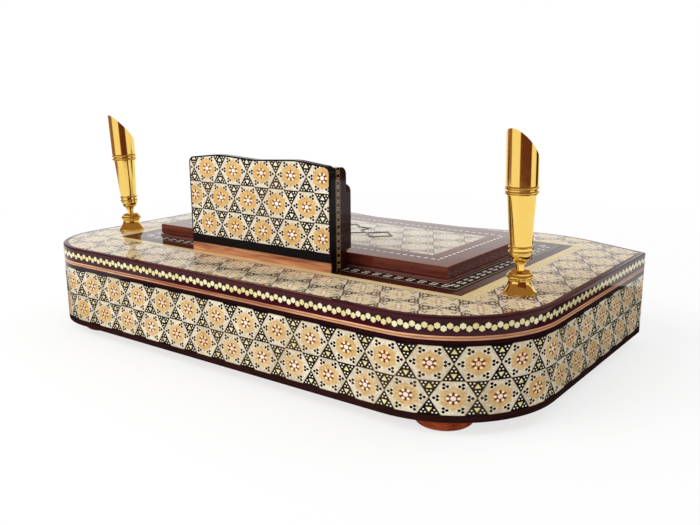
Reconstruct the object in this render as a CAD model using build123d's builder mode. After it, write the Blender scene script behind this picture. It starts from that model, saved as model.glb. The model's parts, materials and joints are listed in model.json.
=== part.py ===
"""Desk pen box: a low marquetry box with a hinged lid, a card holder and two brass pen funnels.

Millimetres. +X runs along the long side, +Z is up, and +Y points to the user's wavy edge.
The origin is on the table, under the middle of the box. The card holder stands near the -Y side.
"""

import os
from math import radians, sqrt, tan

from build123d import *

# Box, outside
box_width = 307.3
middle_depth = 180.3  # from the near face to the dip of the waved far edge, before rounding
box_height = 45.5
near_left_radius = 42.0  # the near corners, the left one tighter
near_right_radius = 54.5
wave_peak_inset = 56.05  # where the two slopes of each crest would meet, from the short side
wave_peak_rise = 19.5  # and how far that is beyond the dip
rear_corner_drop = 5.5  # how far the rear corners stay short of the dip
wave_peak_radius = 79.0
wave_dip_radius = 86.0
near_y = -98.2  # the near face

# Wood thicknesses of the box
skin = 1.2  # side veneers
top_skin = 1.0  # top veneers
wall = 8.0
bottom_board_thickness = 5.0
top_board_thickness = 6.0

# Side bands, from the top edge down
edge_height = 2.5
edge_width = 3.0  # how far the edge moulding reaches onto the top
bead_height = 3.3
maroon_height = 2.1
light_height = 1.9
black_height = 1.8
plinth_height = 3.1

# Feet of the box
foot_height = 6.0
foot_radius = 13.0
foot_side_inset = 36.4  # foot centre from the short side
foot_near_inset = 21.8  # foot centre from the near face
foot_far_inset = 24.0  # foot centre from the rear corner, towards the near face

# Top inlays, all rectangles, from the lid outwards
pattern_width = 12.6  # patterned band round the lid
maroon_side_width = 4.8
maroon_near_width = 5.5
maroon_far_width = 3.9
cream_side_width = 6.6
cream_long_width = 4.4

# Lid
lid_left_inset = 49.15  # from the box's short sides
lid_right_inset = 56.05
lid_near_inset = 56.4  # from the near face
lid_far_inset = 27.1  # from the dip of the far edge
lid_height = 5.8
lid_chamfer = 0.5
lid_gap = 0.2  # between the lid and its seat
seat_height = 1.0
seat_reach = 0.5  # of the seat, beyond the lid's sides
panel_depth = 1.0  # recess for the lid's marquetry
panel_margin = 19.2  # dark frame round the lid's marquetry
line_margin = 11.0  # inlay line's outer edge, from the lid's sides
line_width = 2.2
star_side = 27.0  # ornament on the lid: the two squares of its star
lozenge_side = 13.5
rosette_radius = 7.0
ornament_line = 1.4
ornament_height = 0.3
lip_height = 3.0
lip_width = 4.0
lip_clearance = 0.8

# Compartment, and the seat's width between its opening and the lid's edge
seat_side_width = 7.6
seat_near_width = 7.65
seat_far_width = 7.35
compartment_wall = 5.0
lining_thickness = 1.5

# Card holder
holder_middle_x = -6.85
holder_width = 98.5
holder_lid_lead = 18.15  # its near face, in front of the lid's near edge
holder_side_height = 51.5
holder_crest_height = 54.6  # sharp corner of each crest, before rounding
holder_dip_height = 53.2
holder_end_height = 52.2
holder_crest_inset = 22.25  # from the holder's ends
holder_crest_radius = 40.0
holder_corner_radius = 3.5
holder_front_thickness = 4.4
holder_facing_thickness = 0.8
holder_base_strip = 4.9
holder_black_strip = 4.1
holder_side_thickness = 4.0
holder_inner_depth = 8.7
holder_rear_thickness = 3.7
holder_rear_top = 42.3
holder_rear_bottom = 10.0
holder_side_round = 4.0
holder_inlay_width = 4.2
holder_inlay_thickness = 0.6

# Lid hinges
hinge_end_inset = 15.25  # hinge middle from the card holder's end
hinge_length = 22.0
knuckle_radius = 1.6
pin_radius = 0.7
pin_clearance = 0.06
knuckle_gap = 0.2
leaf_thickness = 0.7
leaf_reach = 9.0  # of the leaf on the rear board
lid_leaf_reach = 5.2
barrel_clearance = 0.45  # of the barrel over the lid's top, and over the fixed leaf

# Pen funnels, heights above the box's top
pen_left_inset = 18.2  # from the box's short sides
pen_right_inset = 20.05
pen_near_inset = 57.75
left_lean = -4.0  # how far each funnel leans at rest, in degrees, positive towards +X
right_lean = -1.2
mouth_turn = 72.0  # way the mouth faces, in degrees from +X towards +Y
pen_foot_radius = 7.6
pen_foot_rim = 0.9
pen_foot_waist = 5.3
pen_foot_height = 6.8
stud_radius = 2.0
stud_length = 12.5
stud_clearance = 0.15
nut_radius = 3.6
nut_height = 2.4
ball_radius = 3.0
ball_height = 6.4  # centre
ball_clearance = 0.08
cup_radius = 4.3
cup_clearance = 0.06
cup_base = 2.2
cup_lift = 0.1
ring_radius = 6.1
ring_height = 3.2
ring_bead = 1.0
ring_flare = 1.8
stem_radius = 1.9
spigot_radius = 1.2
spigot_length = 2.2
spigot_clearance = 0.06
cone_base = 16.2
cone_lift = 0.1
cone_bottom_radius = 4.9
cone_top_radius = 6.3
cone_top = 44.2
cone_wall = 1.0
bead_radius = 0.75  # round beads of the cone and the collar
collar_height = 4.0
tube_radius = 7.1
tube_wall = 0.8
mouth_height = 64.6  # where the slanted mouth crosses the tube's axis
mouth_slope = 49.0  # degrees from level

# Worked out
half_width = box_width / 2
base_z = foot_height
top_z = foot_height + box_height
board_top = top_z - top_skin
board_low = board_top - top_board_thickness
floor_z = base_z + bottom_board_thickness
wave_dip_y = near_y + middle_depth
wave_peak_y = wave_dip_y + wave_peak_rise
rear_corner_y = wave_dip_y - rear_corner_drop
wave_peak_x = half_width - wave_peak_inset
lid_width = box_width - lid_left_inset - lid_right_inset
lid_middle_x = (lid_left_inset - lid_right_inset) / 2
lid_near_y = near_y + lid_near_inset
lid_far_y = wave_dip_y - lid_far_inset
lid_z = top_z + seat_height + lid_gap
lid_top = lid_z + lid_height
lid_middle_y = (lid_near_y + lid_far_y) / 2
cream_half_width = lid_width / 2 + pattern_width + maroon_side_width
cream_near_y = lid_near_y - pattern_width - maroon_near_width
cream_far_y = lid_far_y + pattern_width + maroon_far_width
compartment_width = lid_width - 2 * seat_side_width
compartment_near_y = lid_near_y + seat_near_width
compartment_far_y = lid_far_y - seat_far_width
compartment_depth = compartment_far_y - compartment_near_y
compartment_middle_y = (compartment_near_y + compartment_far_y) / 2
holder_near_y = lid_near_y - holder_lid_lead
holder_back_y = holder_near_y + holder_front_thickness + holder_inner_depth
holder_rear_y = holder_back_y + holder_rear_thickness
holder_crest_x = holder_width / 2 - holder_crest_inset
hinge_span = holder_width / 2 - hinge_end_inset
pen_left_x = pen_left_inset - half_width
pen_right_x = half_width - pen_right_inset
pen_y = near_y + pen_near_inset
barrel_offset = leaf_thickness + knuckle_radius + barrel_clearance
hinge_y = holder_rear_y + barrel_offset
hinge_z = lid_top + knuckle_radius + barrel_clearance
# The lid's near bottom edge swings down past its seat as it opens, so a bevel takes it off
toe_reach = hinge_y - lid_near_y
toe_drop = hinge_z - lid_z
toe_swing = toe_drop + lid_gap / 2
toe_depth = max(toe_reach - sqrt(toe_swing**2 - toe_drop**2), lid_chamfer)
toe_rise = max(toe_drop - sqrt(toe_swing**2 - toe_reach**2), 0) + lid_chamfer
ball_z = top_z + ball_height

os.makedirs("parts", exist_ok=True)


def save(builder, label):
    """Names a finished piece and writes its STEP file."""
    builder.part.label = label
    export_step(builder.part, f"parts/{label}.step")


def box_plan(inset):
    """The box's outline, drawn in by a distance: straight sides, round near corners, waved far edge."""
    corners = [
        (half_width, rear_corner_y),
        (half_width, near_y),
        (-half_width, near_y),
        (-half_width, rear_corner_y),
    ]
    wave = [
        (-half_width, rear_corner_y),
        (-wave_peak_x, wave_peak_y),
        (0, wave_dip_y),
        (wave_peak_x, wave_peak_y),
        (half_width, rear_corner_y),
    ]
    with BuildSketch() as plan:
        with BuildLine():
            FilletPolyline(*corners, radius=[near_right_radius, near_left_radius])
            FilletPolyline(*wave, radius=[wave_peak_radius, wave_dip_radius, wave_peak_radius])
        make_face()
        if inset > 0:
            offset(amount=-inset, kind=Kind.INTERSECTION)
    return plan.sketch


def ring_plan(outer_inset, inner_inset):
    """The flat ring between two insets of the box's outline."""
    with BuildSketch() as ring:
        add(box_plan(outer_inset))
        add(box_plan(inner_inset), mode=Mode.SUBTRACT)
    return ring.sketch


def band(label, low_z, height, thickness):
    """A veneer band round the box's side."""
    with BuildPart() as piece:
        with BuildSketch(Plane.XY.offset(low_z)):
            add(ring_plan(0, thickness))
        extrude(amount=height)
    save(piece, label)


def lid_rectangle(half_x, low_y, high_y, mode=Mode.ADD):
    """A rectangle round the lid's middle, drawn into a sketch."""
    with Locations((lid_middle_x, (low_y + high_y) / 2)):
        Rectangle(2 * half_x, high_y - low_y, mode=mode)


def frame_plan(half_x, low_y, high_y, side_width, long_width):
    """A rectangular frame: its inner edge, and its widths at the short and the long sides."""
    with BuildSketch() as frame:
        lid_rectangle(half_x + side_width, low_y - long_width, high_y + long_width)
        lid_rectangle(half_x, low_y, high_y, Mode.SUBTRACT)
    return frame.sketch


def flat_frame(label, sketch, low_z, height):
    """A sheet or frame cut to a drawn shape."""
    with BuildPart() as piece:
        with BuildSketch(Plane.XY.offset(low_z)):
            add(sketch)
        extrude(amount=height)
    save(piece, label)


def compartment_opening():
    """The cut-out of the compartment."""
    with BuildSketch() as opening:
        lid_rectangle(compartment_width / 2, compartment_near_y, compartment_far_y)
    return opening.sketch


def build_carcass():
    """Wall ring, bottom board, top board, compartment walls and felt."""
    with BuildPart() as walls:
        with BuildSketch(Plane.XY.offset(floor_z)):
            add(ring_plan(skin, skin + wall))
        extrude(amount=top_z - edge_height - floor_z)
        with BuildSketch(Plane.XY.offset(top_z - edge_height)):
            add(ring_plan(edge_width, skin + wall))
        extrude(amount=edge_height - top_skin)
    save(walls, "carcass_walls")

    with BuildPart() as bottom:
        with BuildSketch(Plane.XY.offset(base_z)):
            add(box_plan(skin))
        extrude(amount=bottom_board_thickness)
    save(bottom, "bottom_board")

    with BuildPart() as top:
        with BuildSketch(Plane.XY.offset(board_low)):
            add(box_plan(skin + wall))
            add(compartment_opening(), mode=Mode.SUBTRACT)
            with Locations((pen_left_x, pen_y), (pen_right_x, pen_y)):
                Circle(stud_radius + stud_clearance, mode=Mode.SUBTRACT)
        extrude(amount=top_board_thickness)
    save(top, "top_board")

    wall_height = board_low - floor_z
    side_x = (compartment_width + compartment_wall) / 2
    long_y = (compartment_depth + compartment_wall) / 2
    with BuildPart() as inner:
        with BuildSketch(Plane.XY.offset(floor_z)):
            with Locations(
                (lid_middle_x, compartment_middle_y - long_y),
                (lid_middle_x, compartment_middle_y + long_y),
            ):
                Rectangle(compartment_width + 2 * compartment_wall, compartment_wall)
        extrude(amount=wall_height)
    with BuildPart() as ends:
        with BuildSketch(Plane.XY.offset(floor_z)):
            with Locations(
                (lid_middle_x - side_x, compartment_middle_y),
                (lid_middle_x + side_x, compartment_middle_y),
            ):
                Rectangle(compartment_wall, compartment_depth)
        extrude(amount=wall_height)
    boards = Compound(children=[*inner.part.solids(), *ends.part.solids()])
    boards.label = "compartment_walls"
    export_step(boards, "parts/compartment_walls.step")

    flat_frame("compartment_lining", compartment_opening(), floor_z, lining_thickness)


def build_side_bands():
    """Edge moulding, bead band, three lines, marquetry and plinth strip, from the top down."""
    band("edge_moulding", top_z - edge_height, edge_height, edge_width)
    low_z = top_z - edge_height
    for label, height in (
        ("bead_inlay", bead_height),
        ("maroon_stringing", maroon_height),
        ("light_stringing", light_height),
        ("black_stringing", black_height),
    ):
        low_z -= height
        band(label, low_z, height, skin)
    band("side_marquetry", base_z + plinth_height, low_z - base_z - plinth_height, skin)
    band("plinth_strip", base_z, plinth_height, skin)


def build_top_inlays():
    """Marquetry sheet, cream line and the two dark borders, flush with each other."""
    with BuildSketch() as sheet:
        add(box_plan(edge_width))
        lid_rectangle(
            cream_half_width + cream_side_width,
            cream_near_y - cream_long_width,
            cream_far_y + cream_long_width,
            Mode.SUBTRACT,
        )
        with Locations((pen_left_x, pen_y), (pen_right_x, pen_y)):
            Circle(stud_radius + stud_clearance, mode=Mode.SUBTRACT)
    flat_frame("top_marquetry", sheet.sketch, board_top, top_skin)

    cream = frame_plan(cream_half_width, cream_near_y, cream_far_y, cream_side_width, cream_long_width)
    flat_frame("cream_line", cream, board_top, top_skin)

    outer_x = lid_width / 2 + pattern_width
    low_y = lid_near_y - pattern_width
    high_y = lid_far_y + pattern_width
    with BuildSketch() as maroon:
        lid_rectangle(cream_half_width, cream_near_y, cream_far_y)
        lid_rectangle(outer_x, low_y, high_y, Mode.SUBTRACT)
    flat_frame("maroon_border", maroon.sketch, board_top, top_skin)

    with BuildSketch() as pattern:
        lid_rectangle(outer_x, low_y, high_y)
        add(compartment_opening(), mode=Mode.SUBTRACT)
    flat_frame("pattern_border", pattern.sketch, board_top, top_skin)

    with BuildSketch() as seat:
        lid_rectangle(lid_width / 2 + seat_reach, lid_near_y - seat_reach, lid_far_y + seat_reach)
        add(compartment_opening(), mode=Mode.SUBTRACT)
    flat_frame("lid_seat_frame", seat.sketch, top_z, seat_height)


def build_feet():
    """Four turned discs with eased edges."""
    x = half_width - foot_side_inset
    near = near_y + foot_near_inset
    far = rear_corner_y - foot_far_inset
    places = {
        "foot_near_left": (-x, near),
        "foot_near_right": (x, near),
        "foot_far_left": (-x, far),
        "foot_far_right": (x, far),
    }
    for label, place in places.items():
        with BuildPart() as foot:
            with BuildSketch():
                with Locations(place):
                    Circle(foot_radius)
            extrude(amount=foot_height)
            chamfer(foot.faces().sort_by(Axis.Z)[0].edges(), length=foot_height / 8)
        save(foot, label)


def holder_outline(low_z, top_drop):
    """Front board's outline in X and Z: two soft crests with a shallow dip, rounded corners."""
    x = holder_width / 2
    low = top_z + low_z
    points = [
        (-x, low),
        (-x, top_z + holder_end_height - top_drop),
        (-holder_crest_x, top_z + holder_crest_height - top_drop),
        (0, top_z + holder_dip_height - top_drop),
        (holder_crest_x, top_z + holder_crest_height - top_drop),
        (x, top_z + holder_end_height - top_drop),
        (x, low),
    ]
    crest = holder_crest_radius
    corner = holder_corner_radius
    moved = [(px + holder_middle_x, pz) for px, pz in points]
    with BuildSketch() as outline:
        with BuildLine():
            FilletPolyline(*moved, radius=[corner, crest, crest, crest, corner])
            Line(moved[-1], moved[0])
        make_face()
    return outline.sketch


def holder_sheet(label, sketch, near, thickness):
    """A sheet in the XZ plane, from its near face backwards."""
    with BuildPart() as piece:
        with BuildSketch(Plane.XZ.offset(-near)):
            add(sketch)
        extrude(amount=-thickness)
    save(piece, label)


def holder_strip(label, low_z, height):
    """One of the two straight strips at the foot of the front board."""
    with BuildSketch() as strip:
        with Locations((holder_middle_x, top_z + low_z + height / 2)):
            Rectangle(holder_width, height)
    holder_sheet(label, strip.sketch, holder_near_y, holder_facing_thickness)


def build_holder():
    """Card holder: faced front board, two side walls, low rear board and a floor for the cards."""
    facing_low = holder_base_strip + holder_black_strip
    core_y = holder_near_y + holder_facing_thickness
    core_thickness = holder_front_thickness - holder_facing_thickness
    holder_sheet("holder_front_board", holder_outline(0, 0), core_y, core_thickness)
    holder_sheet("holder_facing", holder_outline(facing_low, 0), holder_near_y, holder_facing_thickness)
    holder_strip("holder_black_strip", holder_base_strip, holder_black_strip)
    holder_strip("holder_base_strip", 0, holder_base_strip)

    front_back_y = holder_near_y + holder_front_thickness
    for side, label in ((-1, "left"), (1, "right")):
        outer_x = holder_middle_x + side * holder_width / 2
        inner_x = outer_x - side * holder_side_thickness
        inlay_x = outer_x - side * holder_inlay_thickness
        with BuildPart() as groove:
            with BuildSketch(Plane.XY.offset(top_z)):
                with Locations(((outer_x + inlay_x) / 2, front_back_y + holder_inlay_width / 2)):
                    Rectangle(holder_inlay_thickness, holder_inlay_width)
            extrude(amount=holder_side_height)
        save(groove, f"holder_inlay_{label}")
        with BuildPart() as board:
            with BuildSketch(Plane.XY.offset(top_z)):
                with Locations(((outer_x + inner_x) / 2, (front_back_y + holder_back_y) / 2)):
                    Rectangle(holder_side_thickness, holder_inner_depth)
            extrude(amount=holder_side_height)
            rear_top = board.edges().filter_by(Axis.X).group_by(Axis.Z)[-1].sort_by(Axis.Y)[-1]
            fillet(rear_top, radius=holder_side_round)
            add(groove.part, mode=Mode.SUBTRACT)
        save(board, f"holder_side_{label}")

    with BuildPart() as rear:
        with BuildSketch(Plane.XY.offset(top_z + holder_rear_bottom)):
            with Locations((holder_middle_x, (holder_back_y + holder_rear_y) / 2)):
                Rectangle(holder_width, holder_rear_thickness)
        extrude(amount=holder_rear_top - holder_rear_bottom)
        top_corners = rear.edges().filter_by(Axis.Y).group_by(Axis.Z)[-1]
        fillet(top_corners, radius=holder_corner_radius)
    save(rear, "holder_rear_board")

    inner_width = holder_width - 2 * holder_side_thickness
    with BuildPart() as floor:
        with BuildSketch(Plane.XY.offset(top_z)):
            with Locations((holder_middle_x, (front_back_y + holder_back_y) / 2)):
                Rectangle(inner_width, holder_inner_depth)
        extrude(amount=holder_rear_bottom)
    save(floor, "holder_floor")


def lid_line():
    """The inlay line's frame in the lid's top."""
    inner = line_margin + line_width
    return frame_plan(
        lid_width / 2 - inner, lid_near_y + inner, lid_far_y - inner, line_width, line_width
    )


def medallion(inset):
    """Eight-pointed star with a lozenge at each side, drawn in by a distance."""
    side = star_side - 2 * inset
    lozenge = lozenge_side - 2 * inset
    reach = (star_side + lozenge_side) / sqrt(2)
    with BuildSketch() as drawn:
        with Locations((lid_middle_x, lid_middle_y)):
            Rectangle(side, side)
            Rectangle(side, side, rotation=45)
        with Locations((lid_middle_x - reach, lid_middle_y), (lid_middle_x + reach, lid_middle_y)):
            Rectangle(lozenge, lozenge, rotation=45)
    return drawn.sketch


def build_lid():
    """Lid board with its let-in panel and line, the ornament and the locating lip."""
    line = lid_line()
    with BuildSketch() as panel:
        lid_rectangle(lid_width / 2 - panel_margin, lid_near_y + panel_margin, lid_far_y - panel_margin)

    recess_z = lid_top - panel_depth
    with BuildPart() as board:
        with BuildSketch(Plane.XY.offset(lid_z)):
            lid_rectangle(lid_width / 2, lid_near_y, lid_far_y)
        extrude(amount=lid_height)
        chamfer(board.faces().sort_by(Axis.Z)[-1].edges(), length=lid_chamfer)
        with BuildSketch(Plane.YZ.offset(lid_middle_x - lid_width / 2)):
            with BuildLine():
                Polyline(
                    (lid_near_y, lid_z),
                    (lid_near_y + toe_depth, lid_z),
                    (lid_near_y, lid_z + toe_rise),
                    close=True,
                )
            make_face()
        extrude(amount=lid_width, mode=Mode.SUBTRACT)
        with BuildSketch(Plane.XY.offset(recess_z)):
            add(panel.sketch)
            add(line)
        extrude(amount=panel_depth, mode=Mode.SUBTRACT)
        with BuildSketch(Plane.XY.offset(lid_top - leaf_thickness)):
            with Locations(*hinge_places()):
                Rectangle(hinge_length, lid_leaf_reach, align=(Align.CENTER, Align.MIN))
        extrude(amount=leaf_thickness, mode=Mode.SUBTRACT)
    save(board, "lid_board")
    flat_frame("lid_marquetry", panel.sketch, recess_z, panel_depth)
    flat_frame("lid_inlay_line", line, recess_z, panel_depth)

    with BuildSketch() as ornament:
        add(medallion(0))
        add(medallion(ornament_line), mode=Mode.SUBTRACT)
        with Locations((lid_middle_x, lid_middle_y)):
            Circle(rosette_radius)
            Circle(rosette_radius - ornament_line, mode=Mode.SUBTRACT)
    flat_frame("lid_ornament", ornament.sketch, lid_top, ornament_height)

    outer_width = compartment_width - 2 * lip_clearance
    outer_depth = compartment_depth - 2 * lip_clearance
    long_y = (outer_depth - lip_width) / 2
    side_x = (outer_width - lip_width) / 2
    with BuildPart() as long_strips:
        with BuildSketch(Plane.XY.offset(lid_z - lip_height)):
            with Locations(
                (lid_middle_x, compartment_middle_y - long_y),
                (lid_middle_x, compartment_middle_y + long_y),
            ):
                Rectangle(outer_width, lip_width)
        extrude(amount=lip_height)
    with BuildPart() as end_strips:
        with BuildSketch(Plane.XY.offset(lid_z - lip_height)):
            with Locations(
                (lid_middle_x - side_x, compartment_middle_y),
                (lid_middle_x + side_x, compartment_middle_y),
            ):
                Rectangle(lip_width, outer_depth - 2 * lip_width)
        extrude(amount=lip_height)
    lip = Compound(children=[*long_strips.part.solids(), *end_strips.part.solids()])
    lip.label = "lid_lip"
    export_step(lip, "parts/lid_lip.step")


def hinge_places():
    """Points on the hinge axis, in plan, at each hinge's middle."""
    return [(holder_middle_x - hinge_span, hinge_y), (holder_middle_x + hinge_span, hinge_y)]


def hinge_leaf(label, middle_x, knuckles, on_lid):
    """A leaf with its rolled knuckles. The lid's leaf lies flat in the lid, the fixed one stands
    against the rear board."""
    bore = pin_radius + (pin_clearance if on_lid else 0)
    with BuildPart() as leaf:
        for start, length in knuckles:
            with BuildSketch(Plane.YZ.offset(middle_x + start)):
                with Locations((hinge_y, hinge_z)):
                    Circle(knuckle_radius)
                if on_lid:
                    with Locations((hinge_y, hinge_z)):
                        Rectangle(
                            knuckle_radius,
                            hinge_z - lid_top + leaf_thickness,
                            align=(Align.MIN, Align.MAX),
                        )
                else:
                    with Locations((holder_rear_y, hinge_z)):
                        Rectangle(
                            barrel_offset - knuckle_radius / 2,
                            knuckle_radius,
                            align=(Align.MIN, Align.MIN),
                        )
                with Locations((hinge_y, hinge_z)):
                    Circle(bore, mode=Mode.SUBTRACT)
            extrude(amount=length)
        if on_lid:
            with BuildSketch(Plane.XY.offset(lid_top - leaf_thickness)):
                with Locations((middle_x, hinge_y)):
                    Rectangle(hinge_length, lid_leaf_reach, align=(Align.CENTER, Align.MIN))
            extrude(amount=leaf_thickness)
        else:
            with BuildSketch(Plane.XZ.offset(-holder_rear_y)):
                with Locations((middle_x, hinge_z)):
                    Rectangle(hinge_length, leaf_reach, align=(Align.CENTER, Align.MIN))
            extrude(amount=-leaf_thickness)
    save(leaf, label)


def build_hinges():
    """Two butt hinges: three knuckles each, the middle one on the lid's leaf."""
    third = (hinge_length - 2 * knuckle_gap) / 3
    half = hinge_length / 2
    for label, (middle_x, _) in zip(("left", "right"), hinge_places()):
        outer_knuckles = [(-half, third), (half - third, third)]
        hinge_leaf(f"hinge_fixed_leaf_{label}", middle_x, outer_knuckles, False)
        hinge_leaf(f"hinge_lid_leaf_{label}", middle_x, [(-third / 2, third)], True)
        with BuildPart() as pin:
            with BuildSketch(Plane.YZ.offset(middle_x - half)):
                with Locations((hinge_y, hinge_z)):
                    Circle(pin_radius)
            extrude(amount=hinge_length)
        save(pin, f"hinge_pin_{label}")


def pen_place(x, lean):
    """A funnel's ball centre, leaned about Y."""
    return Location((x, pen_y, ball_z), (0, lean, 0))


def turning_plane(place):
    """Plane for a turned profile: local X is the radius, local Y the height above the box's top."""
    return Plane(place * Location((0, 0, -ball_height), (90, 0, 0)))


def turning_axis(place):
    """The axis that a turned piece is revolved about."""
    return Axis(place.position, Plane(place).z_dir)


def seat_radius(height):
    """Radius of the ball's seat at a height above the box's top."""
    return sqrt((ball_radius + ball_clearance) ** 2 - (height - ball_height) ** 2)


def build_pen_foot(side, place):
    """Bell foot with its stud, and the nut under the board."""
    bore = cup_radius + cup_clearance
    with BuildPart() as foot:
        with BuildSketch(turning_plane(place)):
            with BuildLine():
                rim = Polyline(
                    (0, -stud_length),
                    (stud_radius, -stud_length),
                    (stud_radius, 0),
                    (pen_foot_radius, 0),
                    (pen_foot_radius, pen_foot_rim),
                )
                bell = RadiusArc(rim @ 1, (pen_foot_waist, pen_foot_height), -2 * pen_foot_height)
                Polyline(
                    bell @ 1,
                    (bore, pen_foot_height),
                    (bore, cup_base),
                    (0, cup_base),
                    (0, -stud_length),
                )
            make_face()
        revolve(axis=turning_axis(place))
    save(foot, f"{side}_pen_foot")

    with BuildPart() as nut:
        with BuildSketch(Plane.XY.offset(board_low)):
            with Locations((place.position.X, pen_y)):
                RegularPolygon(nut_radius, 6)
                Circle(stud_radius, mode=Mode.SUBTRACT)
        extrude(amount=-nut_height)
    save(nut, f"{side}_pen_nut")


def build_pen_ring(side, place):
    """Retaining ring over the ball: seat below, flare above, round bead outside."""
    low = pen_foot_height
    high = low + ring_height
    neck = ball_height + ball_radius / 2
    shoulder = ring_radius - ring_bead
    with BuildPart() as ring:
        with BuildSketch(turning_plane(place)):
            with BuildLine():
                seat = RadiusArc(
                    (seat_radius(low), low),
                    (seat_radius(neck), neck),
                    -(ball_radius + ball_clearance),
                )
                Polyline(
                    seat @ 1,
                    (seat_radius(neck) + ring_flare, high),
                    (shoulder - ring_bead / 2, high),
                    (shoulder, high - ring_bead / 2),
                    (shoulder, low),
                    seat @ 0,
                )
            make_face()
            with Locations((shoulder, low + 1.2 * ring_bead)):
                Circle(ring_bead)
        revolve(axis=turning_axis(place))
    save(ring, f"{side}_pen_ring")


def build_socket_cup(side, place):
    """Cup under the ball, which turns in the foot's bore."""
    low = cup_base + cup_lift
    seat_floor = ball_height - ball_radius - ball_clearance
    with BuildPart() as cup:
        with BuildSketch(turning_plane(place)):
            with BuildLine():
                outside = Polyline(
                    (0, low),
                    (cup_radius, low),
                    (cup_radius, ball_height),
                    (seat_radius(ball_height), ball_height),
                )
                RadiusArc(outside @ 1, (0, seat_floor), ball_radius + ball_clearance)
                Line((0, seat_floor), (0, low))
            make_face()
        revolve(axis=turning_axis(place))
    save(cup, f"{side}_socket_cup")


def build_ball_stem(side, place):
    """Ball, stem, and the spigot that the cone turns on."""
    join = ball_height + sqrt(ball_radius**2 - stem_radius**2)
    with BuildPart() as stem:
        with BuildSketch(turning_plane(place)):
            with BuildLine():
                ball = ThreePointArc(
                    (0, ball_height - ball_radius), (ball_radius, ball_height), (stem_radius, join)
                )
                Polyline(
                    ball @ 1,
                    (stem_radius, cone_base),
                    (spigot_radius, cone_base),
                    (spigot_radius, cone_base + spigot_length),
                    (0, cone_base + spigot_length),
                    (0, ball_height - ball_radius),
                )
            make_face()
        revolve(axis=turning_axis(place))
    save(stem, f"{side}_ball_stem")


def build_cone(side, place):
    """Lower cone: rounded bottom on the spigot, two beads, tapered bore."""
    low = cone_base + cone_lift
    shoulder_z = cone_base + 1.9
    floor = cone_base + spigot_length + cone_wall
    hole = spigot_radius + spigot_clearance
    with BuildPart() as cone:
        with BuildSketch(turning_plane(place)):
            with BuildLine():
                bottom = RadiusArc((stem_radius + 0.6, low), (cone_bottom_radius, shoulder_z), -3.6)
                Polyline(
                    bottom @ 1,
                    (cone_bottom_radius, cone_base + 5.8),
                    (cone_top_radius, cone_top),
                    (cone_top_radius - cone_wall, cone_top),
                    (cone_bottom_radius - cone_wall, floor),
                    (0, floor),
                    (0, cone_base + spigot_length + spigot_clearance),
                    (hole, cone_base + spigot_length + spigot_clearance),
                    (hole, low),
                    bottom @ 0,
                )
            make_face()
            with Locations((cone_bottom_radius, cone_base + 2.9), (cone_bottom_radius, cone_base + 5.0)):
                Circle(bead_radius / 1.5)
        revolve(axis=turning_axis(place))
    save(cone, f"{side}_funnel_cone")


def build_collar(side, place):
    """Collar with two round beads between cone and tube."""
    inner = cone_top_radius - cone_wall
    outer = tube_radius - bead_radius / 2
    with BuildPart() as collar:
        with BuildSketch(turning_plane(place)):
            with Locations(((inner + outer) / 2, cone_top + collar_height / 2)):
                Rectangle(outer - inner, collar_height)
            with Locations(
                (outer, cone_top + collar_height / 4),
                (outer, cone_top + 3 * collar_height / 4),
            ):
                Circle(bead_radius)
        revolve(axis=turning_axis(place))
    save(collar, f"{side}_funnel_collar")


def build_tube(side, place):
    """Upper tube, cut off by the slanted mouth."""
    low = cone_top + collar_height
    high = mouth_height + tube_radius * tan(radians(mouth_slope)) + 1
    turned_mouth = Location((0, 0, mouth_height - ball_height), (0, 0, mouth_turn))
    mouth = Plane(place * turned_mouth * Location((0, 0, 0), (0, mouth_slope, 0)))
    with BuildPart() as tube:
        with BuildSketch(turning_plane(place)):
            with Locations((tube_radius - tube_wall / 2, (low + high) / 2)):
                Rectangle(tube_wall, high - low)
        revolve(axis=turning_axis(place))
        split(bisect_by=mouth, keep=Keep.BOTTOM)
    save(tube, f"{side}_funnel_tube")


def build_pens():
    """The two pen funnels. Foot, ring and cup stand upright, the rest leans about the ball."""
    for side, x, lean in (("left", pen_left_x, left_lean), ("right", pen_right_x, right_lean)):
        upright = pen_place(x, 0)
        leaned = pen_place(x, lean)
        build_pen_foot(side, upright)
        build_pen_ring(side, upright)
        build_socket_cup(side, upright)
        build_ball_stem(side, leaned)
        build_cone(side, leaned)
        build_collar(side, leaned)
        build_tube(side, leaned)


build_carcass()
build_side_bands()
build_top_inlays()
build_feet()
build_holder()
build_lid()
build_hinges()
build_pens()
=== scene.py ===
"""Looks of a desk pen box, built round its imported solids.

Everything is in metres and in the solids' frame: +X along the box, +Y towards the waved edge, +Z up.
"""

import json
from math import cos, pi, radians, sin, sqrt

import bmesh
import bpy
from mathutils import Matrix, Vector


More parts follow.
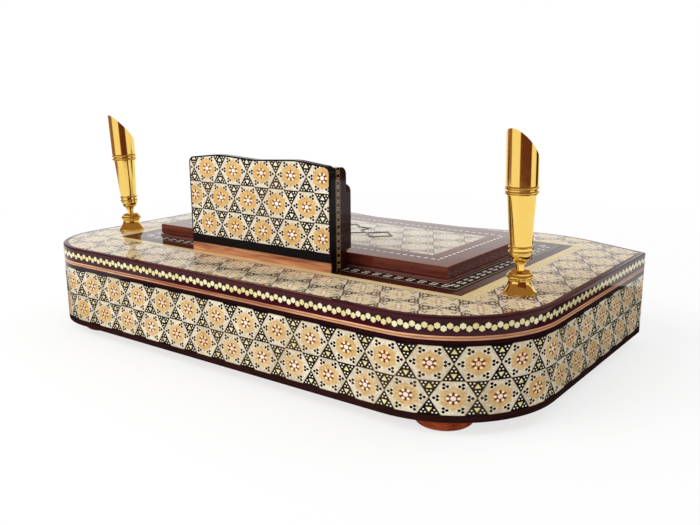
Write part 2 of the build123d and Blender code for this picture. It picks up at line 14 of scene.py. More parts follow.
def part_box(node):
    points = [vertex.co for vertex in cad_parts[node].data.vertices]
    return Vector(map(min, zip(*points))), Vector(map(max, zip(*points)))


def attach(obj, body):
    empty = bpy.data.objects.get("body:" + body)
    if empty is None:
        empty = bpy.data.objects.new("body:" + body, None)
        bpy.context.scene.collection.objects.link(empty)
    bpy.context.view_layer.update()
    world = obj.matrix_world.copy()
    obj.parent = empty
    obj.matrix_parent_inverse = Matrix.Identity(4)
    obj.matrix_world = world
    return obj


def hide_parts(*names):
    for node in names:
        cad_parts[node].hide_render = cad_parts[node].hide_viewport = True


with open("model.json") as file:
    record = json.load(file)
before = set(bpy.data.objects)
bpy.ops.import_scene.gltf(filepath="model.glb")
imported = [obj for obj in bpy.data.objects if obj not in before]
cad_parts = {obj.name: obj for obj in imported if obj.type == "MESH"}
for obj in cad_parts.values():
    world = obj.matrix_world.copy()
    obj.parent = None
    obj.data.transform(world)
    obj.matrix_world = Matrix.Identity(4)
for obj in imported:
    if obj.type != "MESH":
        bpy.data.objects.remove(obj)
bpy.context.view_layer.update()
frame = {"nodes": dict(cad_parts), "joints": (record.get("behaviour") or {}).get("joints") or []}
nodes = frame["nodes"]

MM = 0.001
WELD = 0.002 * MM

# Camera, fitted to the photograph
camera_place = (0.27592, -0.35638, 0.1446)
camera_yaw = 36.791
camera_pitch = 13.079
camera_roll = -0.395
camera_lens = 40.516
sensor_width = 36.0

# Hexagon marquetry: distance between hexagons in a row, and between rows, and a hexagon's middle
# on each panel
hexagon_pitch = 20 * MM
side_row = 15.0 * MM
top_row = 16.4 * MM
side_hexagon_u = 0.4 * MM
side_hexagon_z = 31.8 * MM
top_hexagon_x = 101.5 * MM
top_hexagon_y = -89.5 * MM
lid_hexagon_x = -8.8 * MM
lid_hexagon_y = 6.6 * MM
holder_hexagon_x = -42.3 * MM
holder_hexagon_z = 98.2 * MM
ROW_RATIO = sqrt(3) / 2

# One hexagon of the marquetry, with the distance between hexagons as the unit: the lines between its
# frame's strips, radii of the golden field, the star's points, its shade, the ring and the heart, and
# a petal's middle and half sizes
pattern_blur = 0.006
strip_joint = 0.011
field_reach = 0.266
star_reach = 0.088
halo_reach = 0.152
petal_middle = 0.116
petal_length = 0.036
petal_width = 0.032
ring_reach = 0.082
heart_reach = 0.061

# Its corner groups and the triangles between hexagons: places and radii of their marks
corner_middle = 0.35
corner_step = 0.05
corner_point = 0.034
corner_dot = 0.016
end_dot = 0.013
triangle_dots = ((-0.092, 0.157), (-0.089, 0.0745))
triangle_dot = 0.019
triangle_heart = 0.04

# Beads of the side: distance from one to the next, middle to corner, step up and down in turn, how
# far they go in and stand out, and the flat face's share of a bead
bead_pitch = 2.6 * MM
bead_reach = 1.42 * MM
bead_step = 0.56 * MM
bead_depth = 0.4 * MM
bead_proud = 0.06 * MM
bead_face = 0.9

# Darker layer within the light line under the beads
seam_height = 42.75 * MM
seam_width = 0.28 * MM
seam_blur = 0.35 * MM
seam_wander = 1.2 * MM

# Refractive index of the lacquer, which is lower on the upright faces, and how uneven it lies
top_gloss = 1.45
side_gloss = 1.25
holder_gloss = 1.14
lacquer_wave = 0.02 * MM

# Relief of grain under the lacquer
wood_relief = 0.02 * MM
fine_relief = 0.01 * MM

# Floor: share of plain white near the object, distances from which it rises and is whole, half width
floor_share = 0.72
floor_keeps = 0.2
floor_white = 0.6
floor_reach = 3.0

# What reflections see of the sky: white up to one sine of elevation, and brown from another
sky_white = 0.18
sky_dim = 0.26
sky_shade = (0.3, 0.18, 0.12, 1.0)
white = (1.0, 1.0, 1.0, 1.0)

# Dark card on the floor, in a ring from just within the box's outline outwards
card_inner = -10 * MM
card_outer = 125 * MM
card_lift = 0.5 * MM

# Dark cards on arcs round the right pen: name, first and last bearing, top edge, colour.
# A card fades out over some degrees at either end.
card_middle = (0.134, -0.04)
card_distance = 0.72
card_places = (
    ("front_card", -86.0, 0.0, 0.5, (0.11, 0.033, 0.03, 1.0)),
    ("side_card", 36.0, 76.0, 0.12, (0.05, 0.016, 0.01, 1.0)),
    ("left_card", 166.0, 218.0, 0.5, (0.3, 0.16, 0.12, 1.0)),
)
card_fade = 6.0
card_steps = 12

# Soft square lamps: name, place, size, power
lamps = (("key", (-0.55, -0.95, 0.95), 1.0, 14.0), ("rear", (0.5, 0.9, 1.1), 1.2, 5.0))
lamp_aim = Vector((0, 0, 0.04))

# Small forms
smooth_angle = radians(30)
edge_round = 0.7 * MM
edge_steps = 6
joint_bevel = 0.05 * MM
band_thickness = 1.2 * MM
moulding_width = 3.0 * MM
line_width = 2.2 * MM
rim_width = 0.7 * MM
leaf_thickness = 0.7 * MM
screw_inset = 4.5 * MM
fixed_screw_drop = 3.2 * MM
lid_screw_back = 1.7 * MM

# Turned pieces in millimetres: (radius, height), the foot from the box's top, the bowl from the ball,
# and a screw's head from the leaf that it holds. The foot flares by a power, the bowl as a quarter oval.
turned_steps = 96
curve = [i / 10 for i in range(1, 11)]
foot_profile = [(5.3, 6.8), (4.36, 6.8), (4.36, 2.2), (0, 2.2), (0, -12.5), (2, -12.5), (2, 0)]
foot_profile += [(7.5, 0), (7.6, 0.15), (7.6, 0.9), (7.3, 1.05)]
foot_profile += [(5.0 + 2.3 * (1 - t) ** 1.5, 1.05 + 5.05 * t) for t in curve]
foot_profile += [(5.15, 6.45), (5.3, 6.6)]
bowl_profile = [(1.95, 6.9), (2.4, 6.9), (2.55, 7.15), (2.55, 7.5), (2.4, 7.75), (2.25, 7.9), (2.35, 8.2)]
bowl_profile += [(2.35 + 2.35 * sin(t * pi / 2), 8.2 + 3.4 * (1 - cos(t * pi / 2))) for t in curve]
bowl_profile += [(4.6, 11.8), (1.95, 11.8)]
screw_profile = [(0, -0.3), (1.3, -0.3), (1.3, 0.03), (1.2, 0.12), (0.8, 0.2), (0.42, 0.24), (0.3, 0)]
screw_profile += [(0, -0.1)]


def placed(name, data):
    """An object of the scene."""
    made = bpy.data.objects.new(name, data)
    bpy.context.scene.collection.objects.link(made)
    return made


def aim_camera():
    """The camera of the photograph."""
    yaw, pitch, roll = (radians(a) for a in (camera_yaw, camera_pitch, camera_roll))
    forward = Vector((-sin(yaw) * cos(pitch), cos(yaw) * cos(pitch), -sin(pitch)))
    level = Vector((cos(yaw), sin(yaw), 0))
    upright = level.cross(forward)
    right = level * cos(roll) + upright * sin(roll)
    up = upright * cos(roll) - level * sin(roll)
    lens = bpy.data.cameras.new("camera")
    lens.sensor_width = sensor_width
    lens.lens = camera_lens
    lens.clip_start = 0.01
    camera = placed("camera", lens)
    turn = Matrix((right, up, -forward)).transposed().to_4x4()
    camera.matrix_world = Matrix.Translation(camera_place) @ turn
    bpy.context.scene.camera = camera


# Shader writing

def rgb(red, green, blue):
    """A colour as seen on a screen, 0 to 255, turned into light."""
    def one(value):
        part = value / 255
        return part / 12.92 if part <= 0.04045 else ((part + 0.055) / 1.055) ** 2.4
    return (one(red), one(green), one(blue), 1.0)


def scaled(colour, factor):
    """A colour made darker or lighter."""
    return (*(factor * part for part in colour[:3]), 1.0)


def connect(tree, value, socket):
    """Links a socket or a worked-out number to an input, or sets the input to a plain value."""
    if isinstance(value, Number):
        value = value.socket
    if isinstance(value, bpy.types.NodeSocket):
        tree.links.new(value, socket)
    else:
        socket.default_value = value


class Number:
    """A number that shader nodes work out, used with Python's own operators."""

    def __init__(self, tree, socket):
        self.tree = tree
        self.socket = socket

    def math(self, operation, *others, clamp=False):
        node = self.tree.nodes.new("ShaderNodeMath")
        node.operation = operation
        node.use_clamp = clamp
        for place, value in zip(node.inputs, (self, *others)):
            connect(self.tree, value, place)
        return Number(self.tree, node.outputs[0])

    def __add__(self, other):
        return self.math("ADD", other)

    def __sub__(self, other):
        return self.math("SUBTRACT", other)

    def __rsub__(self, other):
        return (self * -1.0) + other

    def __mul__(self, other):
        return self.math("MULTIPLY", other)

    def __truediv__(self, other):
        return self.math("DIVIDE", other)

    def __abs__(self):
        return self.math("ABSOLUTE")

    def root(self):
        return self.math("SQRT")

    def either(self, other):
        """The larger of two numbers, which shows either of two marks."""
        return self.math("MAXIMUM", other)

    def clamped(self, factor=1.0):
        """The number times a factor, kept from 0 to 1."""
        return self.math("MULTIPLY", factor, clamp=True)

    def wrap(self, period):
        """The number, brought to within half a period of zero."""
        return self.math("WRAP", period / 2, -period / 2)

    def within(self, edge, blur):
        """1 where the number is below an edge, 0 above it, over a short ramp."""
        return ((edge - self) / blur + 0.5).clamped()


def node(tree, kind, settings=None, **inputs):
    """Adds a node with its settings and inputs. A space in an input's name is written as _."""
    made = tree.nodes.new(kind)
    for name, value in (settings or {}).items():
        setattr(made, name, value)
    for name, value in inputs.items():
        connect(tree, value, made.inputs[name.replace("_", " ")])
    return made


def split(tree, vector):
    """The three numbers of a vector."""
    parts = node(tree, "ShaderNodeSeparateXYZ", Vector=vector)
    return [Number(tree, socket) for socket in parts.outputs]


def place_on(tree, kind="Object"):
    """The place on the object, or another kind: UV is the place on its pattern, Normal is the way a
    face looks, and Generated is a direction in the sky.
    """
    return node(tree, "ShaderNodeTexCoord").outputs[kind]


def joined(tree, x=0.0, y=0.0, z=0.0):
    """A vector made of three numbers."""
    return node(tree, "ShaderNodeCombineXYZ", X=x, Y=y, Z=z).outputs[0]


def mixed(tree, share, first, second):
    """A blend of two colours."""
    made = tree.nodes.new("ShaderNodeMix")
    made.data_type = "RGBA"
    connect(tree, share, made.inputs["Factor"])
    connect(tree, first, made.inputs[6])
    connect(tree, second, made.inputs[7])
    return made.outputs[2]


def noise(tree, vector, scale, detail=3.0, roughness=0.55):
    """Smooth noise from 0 to 1."""
    settings = {"Vector": vector, "Scale": scale, "Detail": detail, "Roughness": roughness}
    return Number(tree, node(tree, "ShaderNodeTexNoise", **settings).outputs["Fac"])


def chance(tree, vector):
    """A number from 0 to 1 that differs from place to place without any pattern."""
    made = node(tree, "ShaderNodeTexWhiteNoise", Vector=vector)
    return Number(tree, made.outputs["Value"])


def new_material(name):
    """An empty material and its node tree."""
    material = bpy.data.materials.new(name)
    material.use_nodes = True
    material.node_tree.nodes.clear()
    return material, material.node_tree


def blended(tree, share, first, second):
    """A shader between two others."""
    made = tree.nodes.new("ShaderNodeMixShader")
    connect(tree, share, made.inputs[0])
    tree.links.new(first.outputs[0], made.inputs[1])
    tree.links.new(second.outputs[0], made.inputs[2])
    return made


def finish_shader(tree, shader, owner="Material"):
    """Sends a shader to the output of its material or world."""
    output = tree.nodes.new(f"ShaderNodeOutput{owner}")
    tree.links.new(shader.outputs[0], output.inputs["Surface"])


def surface(tree, **inputs):
    """Gives a material its one surface shader."""
    finish_shader(tree, node(tree, "ShaderNodeBsdfPrincipled", **inputs))


def bumped(tree, height, distance, strength=1.0):
    """A surface normal that follows a height."""
    made = node(tree, "ShaderNodeBump", Height=height, Distance=distance, Strength=strength)
    return made.outputs[0]


def lacquered(tree, colour, height, relief, coat_rough=0.03, gloss=top_gloss):
    """A surface under clear gloss lacquer of a refractive index, which lies a little uneven over it."""
    swell = noise(tree, place_on(tree), 55.0, 2.0)
    surface(
        tree,
        Base_Color=colour,
        Roughness=0.42,
        Specular_IOR_Level=0.02,
        Coat_Weight=1.0,
        Coat_Roughness=coat_rough,
        Coat_IOR=gloss,
        Normal=bumped(tree, height, relief),
        Coat_Normal=bumped(tree, swell, lacquer_wave),
    )


# Pattern of the marquetry

def nearest_hexagon(x, y):
    """Place within the nearest hexagon of the pattern. Hexagons are a unit apart along X."""
    column = 2 * ROW_RATIO
    even_x, even_y = x.wrap(1.0), y.wrap(column)
    odd_x, odd_y = (x - 0.5).wrap(1.0), (y - ROW_RATIO).wrap(column)
    even = even_x * even_x + even_y * even_y
    odd = odd_x * odd_x + odd_y * odd_y
    nearer = even.math("LESS_THAN", odd)
    return odd_x + (even_x - odd_x) * nearer, odd_y + (even_y - odd_y) * nearer


def spot(a, b, at_a, at_b, radius):
    """1 within a round spot."""
    da, db = a - at_a, b - at_b
    return (da * da + db * db).root().within(radius, pattern_blur)


def pointed(a, b, inner):
    """1 within a triangle that points along a, of a given inner radius."""
    flank = a * 0.5 + abs(b) * ROW_RATIO
    return (a * -1.0).either(flank).within(inner, pattern_blur)


def marquetry_group():
    """Hexagons with a golden field and a rosette, and dotted black triangles between them."""
    group = bpy.data.node_groups.new("hexagon_marquetry", "ShaderNodeTree")
    for name, way, kind in (
        ("Place", "INPUT", "Vector"),
        ("Warmth", "INPUT", "Float"),
        ("Fade", "INPUT", "Float"),
        ("Quiet", "INPUT", "Float"),
        ("Colour", "OUTPUT", "Color"),
        ("Height", "OUTPUT", "Float"),
    ):
        group.interface.new_socket(name, in_out=way, socket_type=f"NodeSocket{kind}")
    def mix(share, first, second):
        return mixed(group, share, first, second)
    start = group.nodes.new("NodeGroupInput")
    place = start.outputs["Place"]
    warmth, fade, quiet = (Number(group, start.outputs[name]) for name in ("Warmth", "Fade", "Quiet"))
    x, y, _ = split(group, place)
    qx, qy = nearest_hexagon(x, y)
    middle_x, middle_y = x - qx, y - qy
    radius = (qx * qx + qy * qy).root()
    angle = qy.math("ARCTAN2", qx)
    sixth = pi / 3
    to_corner = angle.wrap(sixth)
    to_side = (angle - sixth / 2).wrap(sixth)
    cu, cv = radius * to_corner.math("COSINE"), abs(radius * to_corner.math("SINE"))
    su, sv = radius * to_side.math("COSINE"), radius * to_side.math("SINE")
    side = (angle - to_side) / sixth
    whole_x, whole_y = middle_x.math("SNAP", 0.25), middle_y.math("SNAP", 0.25)
    hexagon_seed = joined(group, whole_x, whole_y, 0.5)
    side_seed = joined(group, whole_x, whole_y, side.math("ROUND"))

    # Pale frame: six strips with their grain along the sides
    tone = chance(group, side_seed)
    grain = noise(group, joined(group, su * 60.0, sv * 11.0, middle_x * 3.1 + middle_y * 5.3), 1.0, 3.0)
    mottle = noise(group, place, 9.0, 3.0)
    pale = mix(tone, rgb(202, 186, 154), rgb(237, 224, 198))
    pale = mix(quiet * 0.7, pale, rgb(218, 210, 190))
    pale = mix(warmth * 0.6, pale, rgb(240, 232, 214))
    pale = mix((mottle - 0.48).clamped(2.4), pale, rgb(249, 240, 220))
    pale = mix((fade - quiet).clamped(0.4), pale, rgb(232, 206, 160))
    pale = mix((grain - 0.45).clamped(3.4) * 0.6, pale, rgb(158, 134, 98))
    mitre = cv.within(0.005, 0.008) * cu.math("GREATER_THAN", 0.4)
    pale = mix(mitre * 0.5, pale, rgb(122, 102, 74))
    joint = su.within(ROW_RATIO / 2, 0.004) - su.within(ROW_RATIO / 2 - strip_joint, pattern_blur)
    pale = mix(joint * 0.45, pale, rgb(98, 80, 56))

    # Golden field, which on some panels is hardly darker than the frame
    own = chance(group, hexagon_seed)
    warmth = (warmth * (own * 0.9 + 0.5)).clamped()
    flow = joined(group, qx * 16.0 + own * 9.0, qy * 44.0, middle_x * 7.7 + middle_y)
    field_grain = noise(group, flow, 1.0, 4.0, 0.62)
    field = mix(own, rgb(212, 176, 114), rgb(230, 200, 148))
    field = mix(warmth, field, rgb(226, 186, 116))
    dark_grain = mix(fade, rgb(158, 100, 44), rgb(188, 160, 116))
    blotch = (noise(group, place, 5.0, 4.0, 0.65) - 0.48).clamped(6.0)
    field = mix(blotch * 0.6, field, rgb(204, 148, 74))
    field = mix(fade, field, rgb(236, 212, 160))
    field = mix(quiet, field, rgb(222, 214, 192))
    field = mix((mottle - 0.48).clamped(2.6) * 0.7, field, rgb(240, 214, 168))
    field = mix((field_grain - 0.46).clamped(4.0) * 0.7, field, dark_grain)
    ragged = cu + (field_grain - 0.5) * 0.045 - warmth * 0.03
    inner = radius.within(0.16, 0.1)
    field = mix(inner * (1 - fade) * 0.25, field, rgb(214, 162, 92))
    colour = mix(ragged.within(field_reach, 0.04), pale, field)

    # Rosette
    star = (su * 0.5 + abs(sv) * ROW_RATIO).within(star_reach, pattern_blur)
    star_colour = mix(warmth, rgb(116, 42, 16), rgb(132, 62, 22))
    star_colour = mix(fade, star_colour, rgb(150, 92, 50))
    star_colour = mix(quiet, star_colour, rgb(204, 188, 158))
    halo = radius.within(halo_reach, 0.02) * 0.5
    colour = mix(star.either(halo), colour, star_colour)
    pu, pv = (cu - petal_middle) / petal_length, cv / petal_width
    petal = (pu * pu + pv * pv).root().within(1.0, 0.16)
    bright = (own * 3.0).math("FRACT")
    petals = mix(bright, rgb(252, 230, 182), rgb(255, 246, 222))
    petals = mix(quiet, petals, rgb(238, 232, 216))
    colour = mix(petal, colour, petals)
    ring = radius.within(ring_reach, pattern_blur)
    colour = mix(ring, colour, star_colour)
    heart = radius.within(heart_reach, pattern_blur)
    rose = mix(bright, rgb(236, 186, 146), rgb(255, 236, 214))
    rose = mix(quiet, rose, rgb(238, 232, 216))
    colour = mix(heart, colour, mix(warmth, rose, rgb(255, 244, 226)))

    # Corner groups: a small triangle of three black points, with light dots at its corners and edges
    dark = mix(fade, rgb(16, 9, 5), rgb(56, 32, 16))
    ca = cu - corner_middle
    step, half, rise = corner_step, corner_step / 2, corner_step * ROW_RATIO
    points = pointed(ca - step, cv, corner_point).either(pointed(ca + half, cv - rise, corner_point))
    dots = spot(ca, cv, 2 * step, 0.0, end_dot)
    for at_a, at_b in ((half, rise), (-step, 0.0), (-step, 2 * rise)):
        dots = dots.either(spot(ca, cv, at_a, at_b, corner_dot))
    colour = mix(points * (1 - quiet * 0.55), colour, dark)
    colour = mix(dots, colour, rgb(250, 244, 228))

    # Black triangles between the hexagons
    ta, tb = su - 1 / sqrt(3), abs(sv)
    outside = su.math("GREATER_THAN", ROW_RATIO / 2)
    ground = mix(chance(group, side_seed), dark, rgb(27, 15, 8))
    ground = mix(quiet * 0.6, ground, rgb(150, 128, 98))
    near, far = (spot(ta, tb, *dot, triangle_dot) for dot in triangle_dots)
    triangle = mix(near.either(far), ground, rgb(246, 240, 226))
    middle = (ta * -0.5 + tb * ROW_RATIO).within(triangle_heart, pattern_blur)
    gold = mix(own, rgb(214, 196, 118), rgb(246, 236, 184))
    gold = mix(warmth, gold, rgb(252, 244, 214))
    gold = mix(quiet, gold, rgb(214, 202, 172))
    triangle = mix(middle, triangle, gold)
    colour = mix(outside, colour, triangle)

    height = grain * 0.4 + field_grain * 0.6 - outside * 0.2
    node(group, "NodeGroupOutput", Colour=colour, Height=height)
    return group


def marquetry(
    name, group, axes, start, row, warmth, fade=0.0, quiet=0.0, source="Object", facing=None,
    gloss=top_gloss, edges=None,
):
    """Hexagon marquetry on a plane: the two axes it follows and one hexagon's middle.

    warmth makes the fields golden, fade brings them near the pale frames, and quiet softens the darks.

    Where facing names an axis, faces that don't look along it are dark edges. Beyond the two edges,
    which are places on the second axis, it is black.
    """
    material, tree = new_material(name)
    parts = split(tree, place_on(tree, source))
    across, along = parts[axes[0]], parts[axes[1]]
    u = (across - start[0]) / hexagon_pitch
    v = (along - start[1]) * (ROW_RATIO / row)
    place = joined(tree, u, v)
    made = node(
        tree, "ShaderNodeGroup", {"node_tree": group}, Place=place, Warmth=warmth, Fade=fade, Quiet=quiet
    )
    stained = (noise(tree, place, 0.6, 2.0) - 0.45).clamped(0.7)
    colour = mixed(tree, stained, made.outputs["Colour"], rgb(150, 118, 74))
    if fade:
        flecks = noise(tree, joined(tree, u * 17.0, v * 17.0), 1.0, 4.0, 0.7)
        colour = mixed(tree, (flecks - 0.52).clamped(5.0) * 0.7, colour, rgb(128, 74, 30))
    if edges:
        whole = along.math("GREATER_THAN", edges[0]) * along.math("LESS_THAN", edges[1])
        colour = mixed(tree, whole, rgb(12, 9, 10), colour)
    if facing is not None:
        look = abs(split(tree, place_on(tree, "Normal"))[facing])
        colour = mixed(tree, look.math("LESS_THAN", 0.7), colour, rgb(30, 18, 20))
    lacquered(tree, colour, made.outputs["Height"], wood_relief, gloss=gloss)
    return material


# Other materials

def wood(
    name, dark, light, along=0, source="Object", coat_rough=0.04, figure=0.5, fibre=900.0,
    gloss=top_gloss, seam=None,
):
    """Lacquered wood with its fibres along one axis.

    figure is how strong its broad bands are, and fibre how fine it is, in fibres to the metre.
    A seam is the place on the second axis where a thin darker layer lies between two light ones.
    """
    material, tree = new_material(name)
    parts = split(tree, place_on(tree, source))
    def stretched(lengthwise, crosswise):
        scales = [lengthwise if i == along else crosswise for i in range(3)]
        return joined(tree, *(part * scale for part, scale in zip(parts, scales)))
    fibres = noise(tree, stretched(fibre / 22, fibre), 1.0, 5.0, 0.65)
    bands = noise(tree, stretched(fibre / 90, fibre / 7), 1.0, 3.0)
    pores = noise(tree, stretched(fibre / 9, fibre * 2.4), 1.0, 1.0).math("GREATER_THAN", 0.66)
    share = ((fibres - 0.5) * 1.6 + (bands - 0.5) * 2.2 * figure + 0.5).clamped()
    colour = mixed(tree, share, dark, light)
    colour = mixed(tree, pores * 0.5, colour, scaled(dark, 0.35))
    if seam:
        wander = (bands - 0.5) * seam_wander
        layer = abs(parts[1] - seam + wander).within(seam_width, seam_blur)
        colour = mixed(tree, layer * 0.75, colour, scaled(dark, 0.5))
    lacquered(tree, colour, fibres - pores * 0.4, wood_relief, coat_rough, gloss=gloss)
    return material


def black_lacquer(name, gloss):
    """Dark lacquered wood with hardly any grain."""
    material, tree = new_material(name)
    cloud = noise(tree, place_on(tree), 180.0, 4.0)
    colour = mixed(tree, cloud * 0.7, rgb(10, 8, 11), rgb(24, 16, 20))
    lacquered(tree, colour, cloud, fine_relief, gloss=gloss)
    return material


def polished_gold():
    """Gilt brass, mirror bright, with faint turning marks and a few dull places."""
    material, tree = new_material("polished_gold")
    place = place_on(tree)
    x, y, z = split(tree, place)
    marks = noise(tree, joined(tree, x * 60.0, y * 60.0, z * 4000.0), 1.0, 2.0)
    dull = noise(tree, place, 160.0, 3.0)
    colour = mixed(tree, dull, rgb(246, 204, 98), rgb(250, 214, 120))
    normal = bumped(tree, marks, 0.002 * MM)
    surface(tree, Base_Color=colour, Metallic=1.0, Roughness=dull * 0.08 + 0.05, Normal=normal)
    return material


def bead_brass_and_painted_highlight():
    """Small brass beads, filed flat: brass with painted highlights, its colour made pale, near white on
    some beads and golden on others.
    """
    material, tree = new_material("bead_brass_and_painted_highlight")
    patch = noise(tree, place_on(tree), 900.0, 3.0)
    own = chance(tree, place_on(tree, "UV"))
    # Painted highlights: pale, near white tones that differ by chance from bead to bead
    colour = mixed(tree, own, rgb(255, 250, 214), rgb(230, 210, 134))
    colour = mixed(tree, patch * 0.35, colour, rgb(206, 178, 96))
    surface(
        tree,
        Base_Color=colour,
        Metallic=0.15,
        Roughness=0.35,
        Coat_Weight=1.0,
        Coat_Roughness=0.03,
        Coat_IOR=side_gloss,
        Normal=bumped(tree, patch, fine_relief),
    )
    return material


def satin_brass():
    """Hinge brass, rolled and slightly tarnished."""
    material, tree = new_material("satin_brass")
    place = place_on(tree)
    x, y, z = split(tree, place)
    rolled = noise(tree, joined(tree, x * 70.0, y * 2500.0, z * 2500.0), 1.0, 3.0)
    tarnish = noise(tree, place, 220.0, 4.0)
    colour = mixed(tree, tarnish, rgb(214, 176, 104), rgb(168, 128, 70))
    normal = bumped(tree, rolled, 0.004 * MM)
    surface(tree, Base_Color=colour, Metallic=1.0, Roughness=tarnish * 0.2 + 0.22, Normal=normal)
    return material


def felt():
    """Red felt with a short uneven pile."""
    material, tree = new_material("red_felt")
    place = place_on(tree)
    pile = noise(tree, place, 2600.0, 4.0, 0.7)
    worn = noise(tree, place, 60.0, 3.0)
    colour = mixed(tree, pile, rgb(92, 12, 20), rgb(140, 26, 34))
    colour = mixed(tree, worn * 0.3, colour, rgb(70, 10, 16))
    surface(
        tree,
        Base_Color=colour,
        Roughness=0.95,
        Specular_IOR_Level=0.1,
        Sheen_Weight=0.6,
        Sheen_Roughness=0.4,
        Normal=bumped(tree, pile, 0.3 * MM, 0.8),
    )
    return material


def leaf(a, b, at_a, at_b, turn, length, width):
    """A leaf: a slim oval, turned."""
    da, db = a - at_a, b - at_b
    along = (da * cos(turn) + db * sin(turn)) / length
    across = (db * cos(turn) - da * sin(turn)) / width
    return (along * along + across * across).root().within(1.0, 0.25)


def leaf_band(name, period, low, high, line, gap, bright, dull):
    """Dark band with a row of paired pale leaves along U, between two pale lines.

    low and high are the leaf row's limits in V. The lines have a width and lie a gap outside it.
    The leaves vary from bright to dull, and the lines are dull.
    """
    material, tree = new_material(name)
    u, v, _ = split(tree, place_on(tree, "UV"))
    span = high - low
    a = u.wrap(period) / span
    b = (v - (low + high) / 2) / span
    at_a = 0.3 * period / span / 2
    marks = [
        leaf(a, b, end * at_a, side * 0.22, -0.8 * end * side, at_a, 0.14)
        for end in (-1, 1) for side in (-1, 1)
    ]
    leaves = marks[0].either(marks[1]).either(marks[2].either(marks[3]))
    grain = noise(tree, joined(tree, u * 900.0, v * 900.0), 1.0, 2.0)
    ground = mixed(tree, grain, rgb(12, 9, 10), rgb(26, 18, 18))
    colour = mixed(tree, leaves, ground, mixed(tree, grain, bright, dull))
    half = line / 2
    middles = (low - gap - half, high + gap + half)
    under, over = (abs(v - middle).within(half, 0.1 * MM) for middle in middles)
    colour = mixed(tree, under.either(over), colour, dull)
    lacquered(tree, colour, grain, fine_relief)
    return material


def lozenge_line(name, period, width):
    """A fine line of pale ovals on a dark ground, along U."""
    material, tree = new_material(name)
    u, v, _ = split(tree, place_on(tree, "UV"))
    a = u.wrap(period) / (period / 2)
    b = (v - width / 2) / (width / 2)
    oval = (a * a + b * b).root().within(0.68, 0.16)
    grain = noise(tree, joined(tree, u * 1200.0, v * 1200.0), 1.0, 2.0)
    ground = mixed(tree, grain, rgb(40, 18, 16), rgb(70, 36, 30))
    pale = mixed(tree, grain, rgb(252, 246, 238), rgb(214, 206, 196))
    lacquered(tree, mixed(tree, oval, ground, pale), grain, fine_relief)
    return material


# Meshes

def new_piece(name, mesh, material, body, *replaced):
    """An object for a finished mesh, riding on a body and standing for the nodes it replaces."""
    made = placed(name, mesh)
    mesh.materials.append(material)
    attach(made, body)
    if replaced:
        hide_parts(*replaced)
    return made


def mesh_from(name, faces, uvs):
    """A closed mesh from faces given as points, with a place on the pattern for each point."""
    build = bmesh.new()
    layer = build.loops.layers.uv.new("UVMap")
    for points, places in zip(faces, uvs):
        face = build.faces.new([build.verts.new(p) for p in points])
        for loop, place in zip(face.loops, places):
            loop[layer].uv = place
    bmesh.ops.remove_doubles(build, verts=build.verts, dist=WELD)
    bmesh.ops.recalc_face_normals(build, faces=build.faces)
    mesh = bpy.data.meshes.new(name)
    build.to_mesh(mesh)
    build.free()
    mesh.shade_smooth()
    mesh.set_sharp_from_angle(angle=smooth_angle)
    return mesh


def outline_of(name, axis=2):
    """The outer edge of a node's lowest face along an axis: points in order, anticlockwise."""
    first, second = (i for i in range(3) if i != axis)
    build = bmesh.new()
    build.from_mesh(nodes[name].data)
    bmesh.ops.remove_doubles(build, verts=build.verts, dist=WELD)
    low = min(v.co[axis] for v in build.verts) + WELD
    under = {f for f in build.faces if all(v.co[axis] < low for v in f.verts)}
    beside = {}
    for edge in build.edges:
        if sum(f in under for f in edge.link_faces) == 1:
            one, other = edge.verts
            beside.setdefault(one, []).append(other)
            beside.setdefault(other, []).append(one)
    loops = []
    left = dict.fromkeys(beside)
    while left:
        loop = [next(iter(left))]
        while True:
            del left[loop[-1]]
            following = [v for v in beside[loop[-1]] if v in left]
            if not following:
                break
            loop.append(following[0])
        loops.append([Vector((v.co[first], v.co[second])) for v in loop])
    build.free()
    largest = max(loops, key=lambda loop: abs(area(loop)))
    return largest if area(largest) > 0 else largest[::-1]


def area(loop):
    """Signed area of a closed outline, positive where it runs anticlockwise."""
    return sum(a.cross(b) for a, b in zip(loop, loop[1:] + loop[:1])) / 2


def box_outline():
    """The box's outline as (point, outward mitre, distance along it), from the far edge's middle.

    The distance is 0 at the middle of the near face and grows with X there.
    """
    loop = outline_of("side_marquetry")
    far = min((i for i, p in enumerate(loop) if p.y > 0 and p.x > -WELD), key=lambda i: loop[i].x)
    points = mitred(loop[far:] + loop[:far])
    near = min(range(len(points) - 1), key=lambda i: points[i][0].y + points[i + 1][0].y)
    start = points[near][2] - points[near][0].x
    return [(point, mitre, along - start) for point, mitre, along in points]


def mitred(loop):
    """A closed outline as (point, outward mitre, distance along it). Its first point ends it too."""
    runs = [end - start for start, end in zip(loop, loop[1:] + loop[:1])]
    outward = [Vector((run.y, -run.x)).normalized() for run in runs]
    along = 0.0
    points = []
    for i in range(len(loop) + 1):
        before, after = outward[i - 1], outward[i % len(loop)]
        points.append((loop[i % len(loop)], (before + after) / (1 + before.dot(after)), along))
        along += runs[i % len(loop)].length
    return points


def swept(name, outline, profile):
    """A band along an outline. The profile is a closed ring of (inset, height, place on the pattern)."""
    faces, uvs = [], []
    ring = list(zip(profile, profile[1:] + profile[:1]))
    for (p0, m0, u0), (p1, m1, u1) in zip(outline, outline[1:]):
        for (in0, z0, v0), (in1, z1, v1) in ring:
            corners = ((p0, m0, in0, z0), (p1, m1, in0, z0), (p1, m1, in1, z1), (p0, m0, in1, z1))
            faces.append([(*(p - m * inset), z) for p, m, inset, z in corners])
            uvs.append([(u0, v0), (u1, v0), (u1, v1), (u0, v1)])
    return mesh_from(name, faces, uvs)


def band_profile(low, high):
    """Profile of a flat band with eased outer edges."""
    return [
        (joint_bevel, low, low),
        (0.0, low + joint_bevel, low + joint_bevel),
        (0.0, high - joint_bevel, high - joint_bevel),
        (joint_bevel, high, high),
        (band_thickness, high, high + band_thickness),
        (band_thickness, low, low - band_thickness),
    ]


